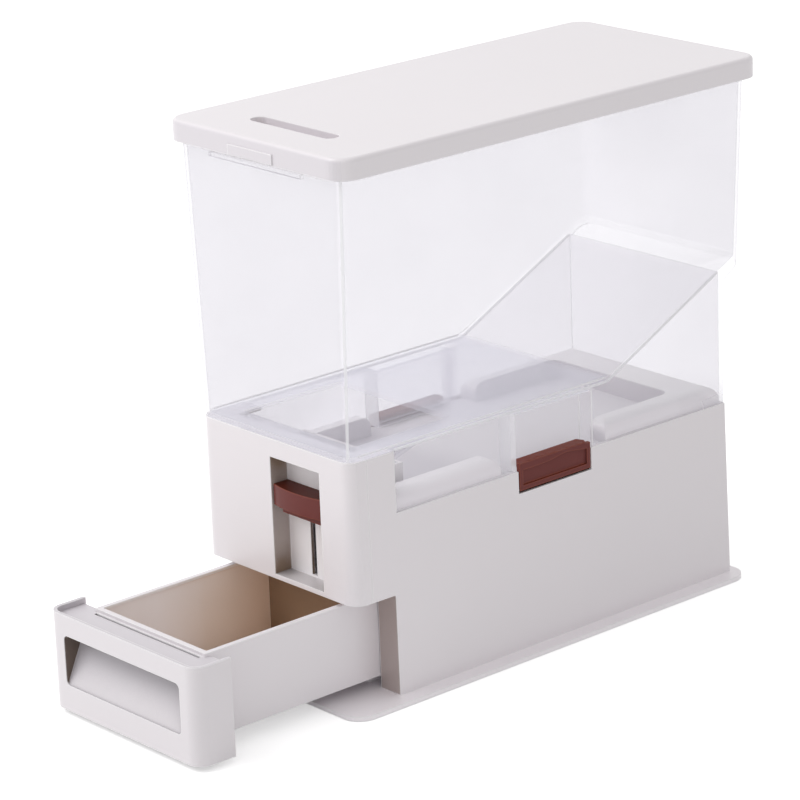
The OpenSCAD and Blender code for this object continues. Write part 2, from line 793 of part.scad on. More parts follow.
module lever_carriage() {
    rack_root = rack_y - 1.25 * tooth_m;
    color(c_inner) difference() {
        union() {
            box([car_x0, car_y, car_low_z], [rack_x1, car_y + car_t, car_top_z]);
            box([rack_x0, rack_root - 3, rack_low_z], [rack_x1, rack_root, rack_top_z]);
            box([rack_x0 + 2, car_y, rack_low_z + 3], [rack_x1 - 2, rack_root - 1, rack_top_z]);
            for (i = [rack_first : rack_last]) rack_tooth(axis_z + i * rack_pitch);
            zrod(rod_x, rod_y, car_top_z - sleeve_h, car_top_z, sleeve_d);
            box([rod_x - 2.5, car_y + 1, car_top_z - sleeve_h], [rod_x + 2.5, rod_y - 1, car_top_z]);
            box([slot_x - slot_w / 2 + stem_gap, -knob_back - stem_in, stem_z0],
                [slot_x + slot_w / 2 - stem_gap, car_y + 1, stem_z0 + stem_h]);
        }
        zrod(rod_x, rod_y, car_top_z - sleeve_h - 1, car_top_z + 1, rod_d + 2 * slide_gap);
    }
}

module lever_guide_rod() {
    color(c_steel) zrod(rod_x, rod_y, shelf_z, rod_lug_z + rod_lug_t, rod_d);
}

module return_spring() {
    color(c_steel) difference() {
        zrod(rod_x, rod_y, shelf_z + 3, car_top_z - sleeve_h, spring_d);
        zrod(rod_x, rod_y, shelf_z, car_top_z, spring_d - 2 * spring_t);
    }
}

module lever_knob() {
    big_r = (knob_w * knob_w / 4 + knob_bulge * knob_bulge) / (2 * knob_bulge);
    color(c_brown) difference() {
        union() {
            intersection() {
                box([win_x - knob_w / 2, -knob_front, knob_z - knob_h],
                    [win_x + knob_w / 2, -knob_back, knob_z]);
                translate([win_x, big_r - knob_front, 0]) cylinder(h = 2 * knob_z, r = big_r, $fn = 256);
            }
            box([win_x - knob_w / 2 + 5, -knob_back - 9, knob_z - knob_h - lip_h],
                [win_x + knob_w / 2 - 1, -knob_back, knob_z - knob_h + e]);
        }
        box([slot_x - slot_w / 2 + stem_gap, -knob_back - stem_in, stem_z0],
            [slot_x + slot_w / 2 - stem_gap, -knob_back + 1, stem_z0 + stem_h]);
    }
}

// tapered hopper block between two heights, drawn in by inset
module hop_form(inset, z0, z1, rf, rb) {
    hull() for (z = [z0, z1]) translate([0, 0, z == z0 ? z0 : z1 - 0.01]) linear_extrude(0.01)
        rrect(-hop_hw(z) + inset, hop_hw(z) - inset, -hop_fy(z) + inset, hop_by(z) - inset,
            rf - inset, rb - inset, $fn = 32);
}

// block that narrows from a mouth to a throat
module funnel_form(grow, z0, z1) {
    hull() {
        box([-throat_x - grow, axis_y - throat_y - grow, z0],
            [throat_x + grow, axis_y + throat_y + grow, z0 + 0.01]);
        box([-mouth_x - grow, mouth_y0 - grow, z1 - 0.01], [mouth_x + grow, mouth_y1 + grow, z1]);
    }
}

module hopper_solid() {
    intersection() {
        hop_form(0, tower_z, hop_rim_z, hop_r, hop_rear_r);
        side([[-2 * hop_front, tower_z], [rim_back, tower_z], [rim_back, step_z],
            [hop_back + 0.8, step_top_z], [2 * hop_back, step_top_z], [2 * hop_back, hop_rim_z],
            [-2 * hop_front, hop_rim_z]], -base_w, base_w);
    }
    translate([0, 0, rim_z]) linear_extrude(tower_z - rim_z + e)
        rrect(-skirt_w / 2, skirt_w / 2, -tower_back, rim_back, skirt_r / 2, skirt_r);
}

// rounded change from the level floor to the ramp
bend_r = 24;
bend_a = atan(ramp_slope);
bend = [for (i = [0 : 6]) [ramp_y - bend_r * tan(bend_a / 2) + bend_r * sin(bend_a * i / 6),
    floor_z + bend_r * (1 - cos(bend_a * i / 6))]];

module hopper_hollow() {
    intersection() {
        hop_form(hop_t, floor_z, hop_rim_z + 1, hop_r, hop_rear_r);
        side(concat([[-2 * hop_front, hop_rim_z + 2], [-2 * hop_front, floor_z]], bend,
            [[2 * hop_back, ramp_z(2 * hop_back)], [2 * hop_back, hop_rim_z + 2]]), -base_w, base_w);
    }
}

module skirt_hollow() {
    x = skirt_w / 2 - hop_t;
    y = rim_back - hop_t;
    side(concat([[-front_y, rim_z - 1], [-front_y, tower_z]],
        [for (p = bend) [p.x, max(tower_z, p.y - ramp_t)]],
        [[y, ramp_z(y) - ramp_t], [y, rim_z - 1]]), -x, x);
}

// walls of the latch pockets, seen from inside the skirt
module pocket_block(grow) {
    x = skirt_w / 2 - pocket_d;
    for (s = [-1, 1])
        box([s * x + (s > 0 ? -grow : -pocket_d - 1), pocket_y0 - grow, rim_z - (grow > 0 ? 0 : 1)],
            [s * x + (s > 0 ? pocket_d + 1 : grow), pocket_y1 + grow, tower_z - (grow > 0 ? 0 : hop_t)]);
}

module hopper() {
    ledge = skirt_w / 2 - pocket_d;
    color(c_clear) difference() {
        union() {
            difference() {
                hopper_solid();
                hopper_hollow();
                skirt_hollow();
            }
            intersection() {
                pocket_block(hop_t);
                translate([0, 0, rim_z]) linear_extrude(tower_z) square([skirt_w, 4 * base_w],
                    center = true);
            }
            funnel_form(hop_t, funnel_z, floor_z);
            box([-throat_x - hop_t, axis_y - throat_y - hop_t, throat_z],
                [throat_x + hop_t, axis_y + throat_y + hop_t, funnel_z + 0.01]);
            box([-lip_front_w / 2, -hop_top_front - 3, lid_z - 5],
                [lip_front_w / 2, -hop_top_front + 1, lid_z - 2]);
            for (s = [-1, 1]) {
                xrod(hinge_y, hinge_z, s * (hinge_x0 + hinge_l / 2) - hinge_l / 2,
                    s * (hinge_x0 + hinge_l / 2) + hinge_l / 2, 2 * hinge_r);
                box([s * (hinge_x0 + hinge_l / 2) - hinge_l / 2, hop_top_back - 1, hinge_z - 2],
                    [s * (hinge_x0 + hinge_l / 2) + hinge_l / 2, hinge_y, hinge_z + 2]);
            }
        }
        pocket_block(0);
        funnel_form(0, funnel_z, floor_z + 0.01);
        box([-throat_x, axis_y - throat_y, throat_z - 1], [throat_x, axis_y + throat_y, funnel_z + 0.02]);
        for (s = [-1, 1])
            xrod(hinge_y, hinge_z, s * (hinge_x0 + hinge_l / 2) - hinge_l,
                s * (hinge_x0 + hinge_l / 2) + hinge_l,
                hinge_pin_d + 2 * run_gap);
    }
    color(c_clear) for (s = [-1, 1])
        box([s * (ledge + 3) - 3.5, pocket_y0 + 2, rim_z],
            [s * (ledge + 3) + 3.5, pocket_y1 - 2, rim_z + 2]);
}

module outlet_seal() {
    h = inlet_z - throat_z - 0.6;
    color(c_rubber) translate([0, axis_y, throat_z + 0.6]) linear_extrude(h) difference() {
        square([2 * inlet_x, 2 * inlet_y], center = true);
        square([2 * (throat_x + hop_t), 2 * (throat_y + hop_t)], center = true);
    }
}

// lid block with a rounded upper edge
module lid_form() {
    hull() for (x = [-1, 1]) for (y = [-lid_front + lid_r, lid_back - lid_r])
        translate([x * (lid_w / 2 - lid_r), y, lid_z]) rotate_extrude($fn = 32) union() {
            square([lid_r, lid_h - lid_edge]);
            square([lid_r - lid_edge, lid_h]);
            translate([lid_r - lid_edge, lid_h - lid_edge]) intersection() {
                circle(lid_edge);
                square(lid_edge);
            }
        }
}

module lid() {
    x = lid_w / 2 - lid_t;
    grip_y = -lid_front + grip_in;
    color(c_shell) difference() {
        union() {
            difference() {
                lid_form();
                translate([0, 0, lid_z - 1]) linear_extrude(lid_in_z - lid_z + 1)
                    rrect(-x, x, -lid_front + lid_t, lid_back - lid_t, lid_r - lid_t, lid_r - lid_t);
            }
            translate([0, 0, lid_top_z - grip_h - lid_t]) linear_extrude(grip_h)
                rrect(-grip_w / 2 - lid_t, grip_w / 2 + lid_t, grip_y - grip_d / 2 - lid_t,
                    grip_y + grip_d / 2 + lid_t, grip_d / 2 + lid_t - 0.1, grip_d / 2 + lid_t - 0.1);
            box([-tab_w / 2, -lid_front - tab_t, lid_z + 0.6],
                [tab_w / 2, -lid_front + 1, lid_z + 0.6 + tab_h]);
            for (s = [-1, 1]) for (k = [-1, 1]) {
                c = s * (hinge_x0 + hinge_l / 2) + k * (hinge_l / 2 + hinge_gap + hinge_ear / 2);
                xrod(hinge_y, hinge_z, c - hinge_ear / 2, c + hinge_ear / 2, 2 * hinge_r);
                box([c - hinge_ear / 2, hinge_y - 2, hinge_z],
                    [c + hinge_ear / 2, lid_back - 0.5, lid_in_z + 1]);
            }
        }
        translate([0, 0, lid_top_z - grip_h]) linear_extrude(grip_h + 1)
            rrect(-grip_w / 2, grip_w / 2, grip_y - grip_d / 2, grip_y + grip_d / 2,
                grip_d / 2 - 0.1, grip_d / 2 - 0.1);
        for (s = [-1, 1]) {
            c = s * (hinge_x0 + hinge_l / 2);
            box([c - hinge_l / 2 - hinge_gap, hinge_y - hinge_r - 3, lid_z - 1],
                [c + hinge_l / 2 + hinge_gap, lid_back + 3, hinge_z + hinge_r + 1]);
            xrod(hinge_y, hinge_z, c - hinge_l, c + hinge_l, hinge_pin_d);
        }
    }
}

module lid_seal() {
    z = hop_rim_z;
    x = hop_hw(z) + 0.6;
    color(c_rubber) translate([0, 0, z + 0.3]) linear_extrude(lid_in_z - z - 0.3) difference() {
        rrect(-x, x, -hop_fy(z) - 0.6, hop_by(z) + 0.6, hop_r, hop_rear_r);
        rrect(-x + seal_w, x - seal_w, -hop_fy(z) - 0.6 + seal_w, hop_by(z) + 0.6 - seal_w,
            hop_r - seal_w, hop_rear_r - seal_w);
    }
}

module lid_hinge_pins() {
    half = hinge_l / 2 + hinge_gap + hinge_ear - 0.5;
    color(c_steel) for (s = [-1, 1])
        xrod(hinge_y, hinge_z, s * (hinge_x0 + hinge_l / 2) - half,
            s * (hinge_x0 + hinge_l / 2) + half, hinge_pin_d);
}

// upper edge of the panel in a latch face, with a wave for the thumb
function wave(t) = wave_h * exp(-pow((t - 0.68) / 0.2, 2)) - frame_top;

// right latch: framed face, hood over the hopper ledge and barrel on the pin
module latch_form() {
    face = base_hw(latch_z) + latch_proud;
    y0 = -latch_front;
    y1 = -latch_front + latch_l;
    p0 = y0 + frame_w;
    p1 = y1 - frame_w;
    difference() {
        union() {
            box([face - latch_t, y0, latch_low_z], [face, y1, latch_z - hood_lip]);
            translate([0, 0, latch_z - hood_t]) linear_extrude(hood_t) polygon([[face - hood_in, y0],
                [face, y0], [face, y1 - hood_cut], [face - hood_cut, y1 - hood_cut / 2],
                [face - hood_in, y1 - hood_cut]]);
            yrod(pin_x, pin_z, y0, y1, latch_pin_d + 3);
        }
        side(concat([[p0, latch_low_z + frame_low], [p1, latch_low_z + frame_low]],
            [for (i = [16 : -1 : 0]) [p0 + (p1 - p0) * i / 16, latch_z + wave(i / 16)]]), 
            face - latch_panel, face + 1);
        yrod(pin_x, pin_z, y0 - 1, y1 + 1, latch_pin_d + 2 * run_gap);
    }
}

module latch_right() {
    color(c_brown) latch_form();
}

module latch_left() {
    color(c_brown) mirror([1, 0, 0]) latch_form();
}

module latch_pins() {
    color(c_steel) for (s = [-1, 1])
        yrod(s * pin_x, pin_z, notch_y0 - pin_boss + 2, notch_y1 + pin_boss - 2, latch_pin_d);
}

module drawer_box() {
    x = box_w / 2;
    lip = box_t + box_lip;
    part_y = box_y0 + box_t + bin_l;
    color(c_shell) translate([0, -drawer_out, 0]) union() {
        difference() {
            translate([0, 0, box_z]) linear_extrude(box_top - box_z) rrect(-x, x, box_y0, box_y1, 2, 6);
            translate([0, 0, box_z + box_t]) linear_extrude(box_top - box_z - box_t - box_lip_h)
                rrect(-x + box_t, x - box_t, box_y0 + box_t, box_y1 - box_t, 1, 3.4);
            translate([0, 0, box_z + box_t]) linear_extrude(box_top)
                rrect(-x + lip, x - lip, box_y0 + lip, box_y1 - lip, 1, 2.4);
        }
        box([-x + box_t / 2, part_y, box_z + box_t / 2],
            [x - box_t / 2, part_y + box_t, box_top - box_lip_h]);
    }
}

// front panel with side wings, top ledge and handle scoop
module drawer_front() {
    x = panel_w / 2;
    y0 = -front_y;
    slope_y = y0 + handle_d;
    color(c_shell) translate([0, -drawer_out, 0]) union() {
        difference() {
            translate([0, 0, panel_z]) linear_extrude(panel_h) difference() {
                rrect(-x, x, y0, y0 + wing_d, panel_r, 0.5);
                rrect(-x + panel_t, x - panel_t, y0 + panel_t, y0 + wing_d + 1, panel_r - panel_t, 0.1);
            }
            translate([0, y0 + panel_t + 1, handle_z + handle_h / 2]) rotate([90, 0, 0])
                linear_extrude(panel_t + 3) rrect(-handle_w / 2, handle_w / 2, -handle_h / 2,
                    handle_h / 2, handle_r, handle_r);
        }
        translate([0, 0, panel_top - shelf_drop - panel_t]) linear_extrude(panel_t) difference() {
            rrect(-x + 1, x - 1, y0 + 1, y0 + wing_d - 1, panel_r - 1, 0.5);
            translate([-box_w / 2, box_y0]) square([box_w, wing_d]);
            translate([-box_w / 2 + 3, slope_y + 1]) square([box_w - 6, box_y0 - slope_y - 2]);
        }
        side([[y0 + 1, handle_z - panel_t - 2], [y0 + 1, handle_z], [slope_y, handle_z + handle_h + 3],
            [slope_y, panel_top - shelf_drop], [slope_y + panel_t, panel_top - shelf_drop],
            [slope_y + panel_t, handle_z + handle_h - 1]], -handle_w / 2 - panel_t,
                handle_w / 2 + panel_t);
        for (s = [-1, 1]) side([[y0 + 1, handle_z - panel_t], [y0 + 1, panel_top - shelf_drop - 1],
            [slope_y + 1, panel_top - shelf_drop - 1], [slope_y + 1, handle_z + handle_h]],
            s * (handle_w / 2 + panel_t / 2) - panel_t / 2,
                s * (handle_w / 2 + panel_t / 2) + panel_t / 2);
        for (s = [-1, 1]) box([s * (x + box_w / 2) / 2 - (x - box_w / 2) / 2, box_y0 + 1, box_z + 6],
            [s * (x + box_w / 2) / 2 + (x - box_w / 2) / 2 - (s > 0 ? 1 : 0), box_y0 + 1 + panel_t,
                panel_top - shelf_drop - 1]);
    }
}

base_plate();
base_body();
base_deck();
front_cover();
drawer_rails();
plate_screws();
cover_screws();
housing_screws();
metering_housing();
metering_drum();
drum_shaft();
drum_pinion();
drum_bushes();
lever_knob();
lever_carriage();
lever_guide_rod();
return_spring();
hopper();
outlet_seal();
lid();
lid_seal();
lid_hinge_pins();
latch_right();
latch_left();
latch_pins();
drawer_box();
drawer_front();
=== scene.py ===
import math
from typing import NamedTuple

import bpy
from mathutils import Matrix, Vector


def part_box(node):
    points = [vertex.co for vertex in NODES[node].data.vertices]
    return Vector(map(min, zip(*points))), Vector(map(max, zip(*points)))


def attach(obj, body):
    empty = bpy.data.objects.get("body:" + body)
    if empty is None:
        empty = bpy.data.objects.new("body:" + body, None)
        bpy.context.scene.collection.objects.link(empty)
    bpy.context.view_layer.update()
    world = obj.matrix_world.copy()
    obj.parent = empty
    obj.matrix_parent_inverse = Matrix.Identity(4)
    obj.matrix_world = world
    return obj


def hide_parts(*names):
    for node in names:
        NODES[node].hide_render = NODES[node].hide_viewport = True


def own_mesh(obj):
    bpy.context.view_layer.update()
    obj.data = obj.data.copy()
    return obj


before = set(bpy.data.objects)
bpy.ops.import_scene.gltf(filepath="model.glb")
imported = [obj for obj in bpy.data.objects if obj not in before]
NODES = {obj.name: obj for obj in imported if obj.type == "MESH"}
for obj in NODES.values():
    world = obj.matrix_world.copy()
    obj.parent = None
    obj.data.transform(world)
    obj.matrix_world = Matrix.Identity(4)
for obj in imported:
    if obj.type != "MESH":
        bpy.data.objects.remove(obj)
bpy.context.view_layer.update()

bl_info = {
    "name": "Dry food container",
    "version": (1, 0, 0),
    "blender": (4, 5, 0),
    "location": "View3D > Sidebar > Container",
    "description": "Finishes, rounded clear hopper and studio stage for a dry food container",
    "category": "Object",
}

# places on the clear hopper, in metres; most pick the faces that take painted highlights and painted light or
# shade
HOPPER_LIFT = 0.00003
HOPPER_FRONT_Y = -0.158
HOPPER_FLOOR = (0.15, 0.18)
HOPPER_WALL_Z = 0.171
SKIRT_Z = (0.128, 0.167)
SKIRT_FRONT_Y = -0.13
SKIRT_SIDE_X = 0.06
POCKET_FRONT_Y = (-0.031, -0.026)
CORNER_SIDE_X = 0.066
CORNER_TURN = (0.58, 0.70)
RAMP_UP = (0.85, 0.95)
RAMP_FRONT_Y = 0.05

# the soft box and what it points at, in metres
KEY_PLACE = (-1.0, -1.5, 2.0)
KEY_AIM = (0, 0, 0.18)


class ContainerFinish(bpy.types.PropertyGroup):
    """Colours, painted shade and painted highlight tones, and gloss of the container's plastics and metals."""

    shell_colour: bpy.props.FloatVectorProperty(
        name="Shell colour", description="Moulded white shell, in full light",
        subtype="COLOR", size=3, min=0, max=1, default=(0.815, 0.775, 0.80))
    # painted shade: the warm tone the shell takes in its hollows stands in for shade there
    painted_shade_colour: bpy.props.FloatVectorProperty(
        name="Shell colour in deep corners", description="Warm tone that the shell takes in its hollows",
        subtype="COLOR", size=3, min=0, max=1, default=(0.90, 0.76, 0.63))
    # painted highlight: a pale line along the moulded outer edges
    painted_edge_colour: bpy.props.FloatVectorProperty(
        name="Shell colour on edges", description="Pale line along the moulded outer edges",
        subtype="COLOR", size=3, min=0, max=1, default=(0.96, 0.945, 0.955))
    # painted shade: the brown at the bottom of narrow hollows stands in for deep shade
    painted_deep_shade_colour: bpy.props.FloatVectorProperty(
        name="Shell colour in narrow corners", description="Tone at the bottom of the shell's narrow hollows",
        subtype="COLOR", size=3, min=0, max=1, default=(0.62, 0.46, 0.34))
    brown_colour: bpy.props.FloatVectorProperty(
        name="Knob and latch colour", description="Red brown of the knob and the latches",
        subtype="COLOR", size=3, min=0, max=1, default=(0.150, 0.046, 0.042))
    clear_tint: bpy.props.FloatVectorProperty(
        name="Hopper tint", description="What one face of the clear wall lets through",
        subtype="COLOR", size=3, min=0, max=1, default=(0.968, 0.965, 0.973))
    shell_roughness: bpy.props.FloatProperty(
        name="Shell roughness", description="Roughness of the white shell",
        subtype="FACTOR", min=0, max=1, default=0.3)
    edge_round: bpy.props.FloatProperty(
        name="Edge round", description="Round that catches the light on moulded edges",
        subtype="DISTANCE", unit="LENGTH", min=0, max=0.003, default=0.0008)
    # width of the painted edge highlight
    painted_edge_width: bpy.props.FloatProperty(
        name="Edge line", description="Width of the pale line along moulded edges",
        subtype="DISTANCE", unit="LENGTH", min=0, max=0.003, default=0.0011)
    clear_edge_round: bpy.props.FloatProperty(
        name="Hopper edge round", description="Round along the edges of the clear hopper",
        subtype="DISTANCE", unit="LENGTH", min=0.0002, max=0.001, default=0.0006)


class ContainerStage(bpy.types.PropertyGroup):
    """Light and camera of the studio."""

    sky_strength: bpy.props.FloatProperty(
        name="Sky strength", description="Even light from all round", min=0, max=2, default=0.67)
    key_power: bpy.props.FloatProperty(
        name="Key power", description="Soft box in front, above and to the left",
        subtype="POWER", unit="POWER", min=0, max=400, default=29)
    key_size: bpy.props.FloatProperty(
        name="Key size", description="Width of the soft box",
        subtype="DISTANCE", unit="LENGTH", min=0.1, max=4, default=1.6)
    floor_lift: bpy.props.FloatProperty(
        name="Floor lift", description="White added to the floor as the camera sees it",
        min=0, max=1, default=0.45)
    lens: bpy.props.FloatProperty(
        name="Lens", description="Focal length on a 36 mm sensor",
        subtype="DISTANCE_CAMERA", min=20, max=400, default=165.07)


def sizes():
    """The finish values of this scene."""
    return bpy.context.scene.container_finish


def new_material(name):
    """An empty node material with its shader and output."""
    mat = bpy.data.materials.new(name)
    mat.use_nodes = True
    tree = mat.node_tree
    tree.nodes.clear()
    out = tree.nodes.new("ShaderNodeOutputMaterial")
    shader = tree.nodes.new("ShaderNodeBsdfPrincipled")
    tree.links.new(shader.outputs["BSDF"], out.inputs["Surface"])
    return mat, tree, shader, out


def coordinates(tree):
    """Object coordinates of a piece."""
    return tree.nodes.new("ShaderNodeTexCoord").outputs["Object"]


def noise(tree, where, scale, detail=2.0):
    """A noise pattern in the piece's own space."""
    node = tree.nodes.new("ShaderNodeTexNoise")
    node.inputs["Scale"].default_value = scale
    node.inputs["Detail"].default_value = detail
    tree.links.new(where, node.inputs["Vector"])
    return node.outputs["Fac"]


def spread(tree, value, low, high, to_low=0.0, to_high=1.0):
    """A value carried from one range to another, held at its ends."""
    node = tree.nodes.new("ShaderNodeMapRange")
    node.clamp = True
    node.inputs["From Min"].default_value = low
    node.inputs["From Max"].default_value = high
    node.inputs["To Min"].default_value = to_low
    node.inputs["To Max"].default_value = to_high
    tree.links.new(value, node.inputs["Value"])
    return node.outputs["Result"]


def blend_colours(tree, share, first, second):
    """Two colours mixed by a value."""
    node = tree.nodes.new("ShaderNodeMix")
    node.data_type = "RGBA"
    tree.links.new(share, node.inputs[0])
    for socket, colour in ((node.inputs[6], first), (node.inputs[7], second)):
        if isinstance(colour, bpy.types.NodeSocket):
            tree.links.new(colour, socket)
        else:
            socket.default_value = (*colour, 1)
    return node.outputs[2]


def soft_edges(tree, radius):
    """Normals rounded over the edges."""
    bevel = tree.nodes.new("ShaderNodeBevel")
    bevel.samples = 6
    bevel.inputs["Radius"].default_value = radius
    return bevel.outputs["Normal"]


def closeness(tree, reach, local=True, inside=False):
    """How open a spot is, from 0 to 1; from inside it falls along outer edges."""
    node = tree.nodes.new("ShaderNodeAmbientOcclusion")
    node.samples = 12
    node.only_local = local
    node.inside = inside
    node.inputs["Distance"].default_value = reach
    return node.outputs["AO"]


def product(tree, first, second):
    """Two values multiplied."""
    node = tree.nodes.new("ShaderNodeMath")
    node.operation = "MULTIPLY"
    tree.links.new(first, node.inputs[0])
    tree.links.new(second, node.inputs[1])
    return node.outputs[0]


def along(tree, output, axis, low, high, both=False):
    """0 to 1 as a surface's place or normal runs from low to high along an axis of the piece, or both ways."""
    parts = tree.nodes.new("ShaderNodeSeparateXYZ")
    tree.links.new(tree.nodes.new("ShaderNodeTexCoord").outputs[output], parts.inputs["Vector"])
    value = parts.outputs[axis]
    if both:
        size = tree.nodes.new("ShaderNodeMath")
        size.operation = "ABSOLUTE"
        tree.links.new(value, size.inputs[0])
        value = size.outputs[0]
    return spread(tree, value, low, high)


class PaintedLight(NamedTuple):
    """A painted light or shade tone for faces turned along an axis, both ways for X, up to an openness and
    between two places.
    """

    axis: str
    way: int
    tone: tuple
    openness: float = 1.2
    place: str = "Z"
    low: float = 0.0
    high: float = 0.01


def moulded_shell(name, open_end, deep_end, reach, painted_light_gain=1.0, shade=None, deep_shade=None, painted_walls=(),
                  local=True):
    """White moulded plastic with painted shade, warm then brown, in its own hollows, painted light or shade on
    faces turned one way, and a painted highlight along its outer edges.
    """
    finish = sizes()
    mat, tree, shader, _ = new_material(name)
    where = coordinates(tree)
    hollow = closeness(tree, reach, local)
    # painted shade: the shell turns warm, then brown, as a spot gets more closed in
    middle = (open_end + deep_end) / 2
    painted_shade_share = spread(tree, hollow, open_end, middle)
    deep = spread(tree, hollow, middle, deep_end)
    # painted light: the gain lightens or darkens the whole shell
    white = tuple(min(0.95, c * painted_light_gain) for c in finish.shell_colour)
    paler = tuple(min(1.0, c * 1.015) for c in white)
    plain = blend_colours(tree, noise(tree, where, 6.0, 2.0), white, paler)
    shaded = blend_colours(tree, painted_shade_share, plain, shade or tuple(finish.painted_shade_colour))
    colour = blend_colours(tree, deep, shaded, deep_shade or tuple(finish.painted_deep_shade_colour))
    # painted light and shade on faces turned one way, within a hollow and between two places
    for painted_wall in painted_walls:
        turned = along(tree, "Normal", painted_wall.axis, painted_wall.way * 0.6, painted_wall.way * 0.9, both=painted_wall.axis == "X")
        closed = spread(tree, hollow, painted_wall.openness, painted_wall.openness - 0.22)
        placed = along(tree, "Object", painted_wall.place, painted_wall.low, painted_wall.high)
        share = product(tree, product(tree, turned, closed), placed)
        colour = blend_colours(tree, share, colour, painted_wall.tone)
    # painted highlight: a pale line along convex outer edges, found where the inside closeness falls
    painted_edge = spread(tree, closeness(tree, finish.painted_edge_width, inside=True), 0.92, 0.5, 0.0, 0.85)
    tree.links.new(blend_colours(tree, painted_edge, colour, tuple(finish.painted_edge_colour)), shader.inputs["Base Color"])
    rough = spread(tree, noise(tree, where, 9.0, 2.0), 0.0, 1.0,
                   finish.shell_roughness - 0.06, finish.shell_roughness + 0.06)
    tree.links.new(rough, shader.inputs["Roughness"])
    tree.links.new(soft_edges(tree, finish.edge_round), shader.inputs["Normal"])
    shader.inputs["IOR"].default_value = 1.5
    return mat


def brown_plastic(name, painted_top_shade):
    """Red brown plastic of the knob and the latches, with painted shade on upper faces and a painted highlight
    along outer edges.
    """
    finish = sizes()
    mat, tree, shader, _ = new_material(name)
    where = coordinates(tree)
    deep = tuple(finish.brown_colour)
    pale = tuple(c * 1.25 for c in deep)
    flow = noise(tree, where, 30.0, 3.0)
    body = blend_colours(tree, flow, deep, pale)
    # painted shade: upper faces take the darker top tone
    body = blend_colours(tree, along(tree, "Normal", "Z", 0.5, 0.9), body, painted_top_shade)
    # painted highlight: a redder line along the outer edges
    painted_edge = spread(tree, closeness(tree, finish.painted_edge_width, inside=True), 0.92, 0.5, 0.0, 0.7)
    tree.links.new(blend_colours(tree, painted_edge, body, (0.30, 0.09, 0.06)), shader.inputs["Base Color"])
    rough = spread(tree, noise(tree, where, 40.0, 3.0), 0.0, 1.0, 0.1, 0.2)
    tree.links.new(rough, shader.inputs["Roughness"])
    tree.links.new(soft_edges(tree, finish.edge_round), shader.inputs["Normal"])
    shader.inputs["IOR"].default_value = 1.5
    shader.inputs["Specular IOR Level"].default_value = 0.05
    return mat


def clear_plastic(name, haze, tint, roughness, body=(0.775, 0.755, 0.82)):
    """Clear plastic: what is behind it shows through, with gloss and a faint haze."""
    mat, tree, shader, out = new_material(name)
    where = coordinates(tree)
    shader.inputs["Base Color"].default_value = (*body, 1)
    shader.inputs["IOR"].default_value = 1.49
    tree.links.new(spread(tree, noise(tree, where, 30.0, 3.0), 0.3, 0.7, roughness, roughness + 0.04),
                   shader.inputs["Roughness"])
    through = tree.nodes.new("ShaderNodeBsdfTransparent")
    through.inputs["Color"].default_value = (*tint, 1)
    facing = tree.nodes.new("ShaderNodeLayerWeight")
    facing.inputs["Blend"].default_value = 0.5
    rise = tree.nodes.new("ShaderNodeMath")
    rise.operation = "POWER"
    rise.inputs[1].default_value = 5.0
    tree.links.new(facing.outputs["Facing"], rise.inputs[0])
    gloss = spread(tree, rise.outputs[0], 0, 1, 0.035, 0.9)
    cloud = spread(tree, noise(tree, where, 9.0, 3.0), 0.3, 0.7, haze * 0.8, haze * 1.2)
    total = tree.nodes.new("ShaderNodeMath")
    total.operation = "ADD"
    total.use_clamp = True
    tree.links.new(gloss, total.inputs[0])
    tree.links.new(cloud, total.inputs[1])
    mix = tree.nodes.new("ShaderNodeMixShader")
    tree.links.new(total.outputs[0], mix.inputs["Fac"])
    tree.links.new(through.outputs["BSDF"], mix.inputs[1])
    tree.links.new(shader.outputs["BSDF"], mix.inputs[2])
    tree.links.new(mix.outputs["Shader"], out.inputs["Surface"])
    return mat


def speckle(tree, shader, grain, first, second, rough_grain, smooth, rough):
    """A fine cloudy tone and roughness, each with the scale and detail of its noise."""
    where = coordinates(tree)
    tone = spread(tree, noise(tree, where, *grain), 0.3, 0.7)
    tree.links.new(blend_colours(tree, tone, first, second), shader.inputs["Base Color"])
    sheen = spread(tree, noise(tree, where, *rough_grain), 0.3, 0.7, smooth, rough)
    tree.links.new(sheen, shader.inputs["Roughness"])


def brushed_steel():
    """Bright steel with fine turned marks."""
    mat, tree, shader, _ = new_material("bright_steel")
    shader.inputs["Metallic"].default_value = 1.0
    speckle(tree, shader, (240.0, 4.0), (0.56, 0.56, 0.58), (0.68, 0.68, 0.70), (400.0, 3.0), 0.22, 0.38)
    return mat


def sintered_brass():
    """Porous brass of the shaft bushes."""
    mat, tree, shader, _ = new_material("sintered_brass")
    shader.inputs["Metallic"].default_value = 1.0
    speckle(tree, shader, (700.0, 4.0), (0.52, 0.36, 0.16), (0.66, 0.48, 0.24), (900.0, 2.0), 0.35, 0.5)
    return mat


def inner_plastic():
    """Pale plastic of the dispensing gear."""
    mat, tree, shader, _ = new_material("gear_plastic")
    speckle(tree, shader, (55.0, 3.0), (0.88, 0.85, 0.87), (0.92, 0.89, 0.91), (220.0, 2.0), 0.38, 0.5)
    tree.links.new(soft_edges(tree, 0.0004), shader.inputs["Normal"])
    return mat


def seal_rubber():
    """Soft pale seal."""
    mat, tree, shader, _ = new_material("seal_rubber")
    speckle(tree, shader, (80.0, 3.0), (0.60, 0.60, 0.62), (0.68, 0.68, 0.70), (300.0, 2.0), 0.55, 0.7)
    return mat


